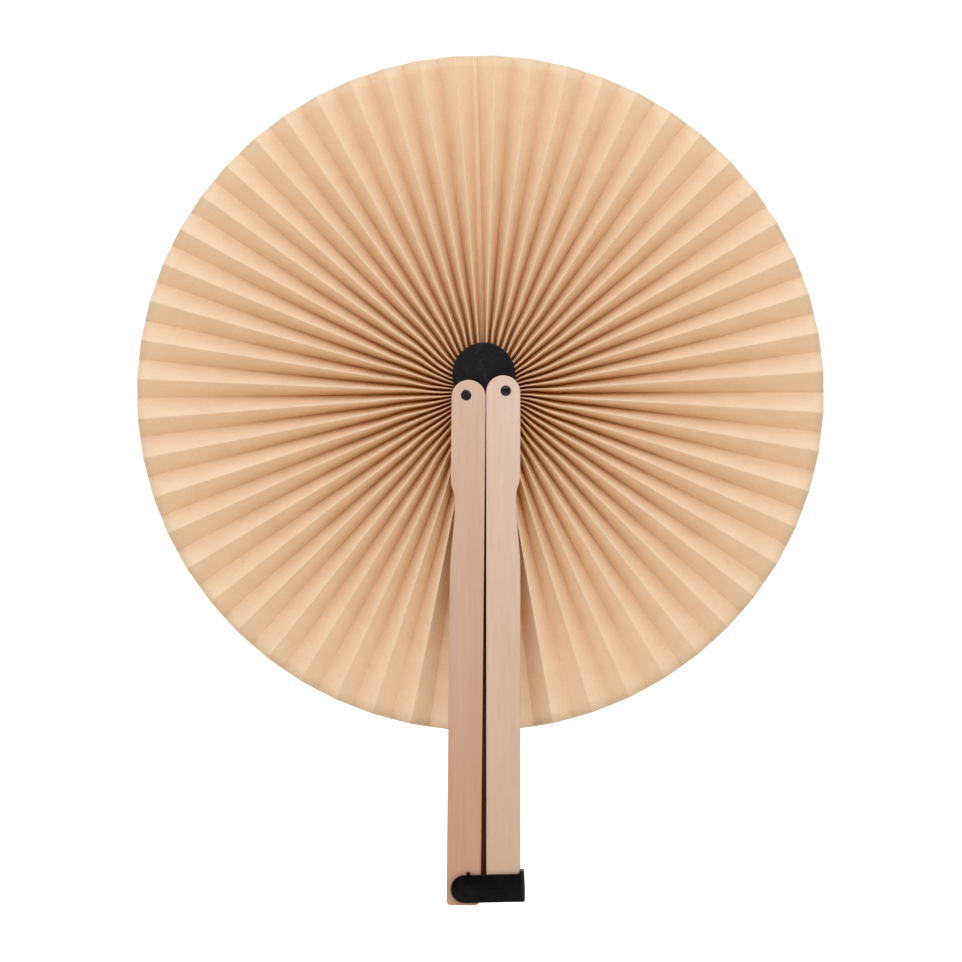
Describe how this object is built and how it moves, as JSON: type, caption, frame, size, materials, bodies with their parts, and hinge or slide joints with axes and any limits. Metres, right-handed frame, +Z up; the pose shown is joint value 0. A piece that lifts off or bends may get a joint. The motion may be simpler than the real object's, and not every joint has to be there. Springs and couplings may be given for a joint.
{
  "type": "round folding hand fan",
  "caption": "Hand fan of pleated kraft paper that opens to a full disc, with two hinged wooden arms that meet as its handle and a swinging clasp that holds them together.",
  "frame": {"origin": "the middle of the grip: between the two arms, half way through the fan's depth, 154 mm below the middle of the hub", "axes": "+Z up along the handle to the disc, +X to the right seen from the front, and the front, where the ridges stand at the hub's domed plate, faces -Y"},
  "size_m": [0.2502, 0.0202, 0.3094],
  "materials": {
    "left_wood": "bare, fine-grained pinkish maple, sanded smooth",
    "right_wood": "bare, fine-grained pale maple, sanded smooth",
    "black_plastic": "satin moulded",
    "kraft_paper": "matt uncoated kraft paper with faint fibres",
    "thread": "twisted cotton thread"
  },
  "bodies": {
    "left_arm": {"left_front_slat": "left_wood", "left_back_slat": "left_wood", "left_core_strip": "left_wood", "left_grip_block": "left_wood"},
    "hub": {"hub_front_plate": "black_plastic", "hub_back_plate": "black_plastic", "hub_post": "black_plastic", "binding_thread": "thread", "left_front_pivot_stud": "black_plastic", "right_front_pivot_stud": "black_plastic", "left_back_pivot_stud": "black_plastic", "right_back_pivot_stud": "black_plastic", "left_pleated_paper": "kraft_paper", "right_pleated_paper": "kraft_paper"},
    "right_arm": {"right_front_slat": "right_wood", "right_back_slat": "right_wood", "right_core_strip": "right_wood", "right_grip_block": "right_wood"},
    "clasp": {"clasp": "black_plastic"}
  },
  "joints": [
    {"name": "left_fold", "type": "hinge", "parent": "left_arm", "child": "hub", "pos_m": [-0.0072, 0, 0.15318], "axis": [0, -1, 0], "range_deg": [0, 179.6], "deforming": ["left_pleated_paper"]},
    {"name": "right_fold", "type": "hinge", "parent": "hub", "child": "right_arm", "pos_m": [0.0072, 0, 0.15482], "axis": [0, -1, 0], "range_deg": [0, 179.8], "deforming": ["right_pleated_paper"]},
    {"name": "clasp_swing", "type": "hinge", "parent": "left_arm", "child": "clasp", "pos_m": [-0.00765, 0, -0.02633], "axis": [0, 1, 0], "range_deg": [0, 135]}
  ]
}
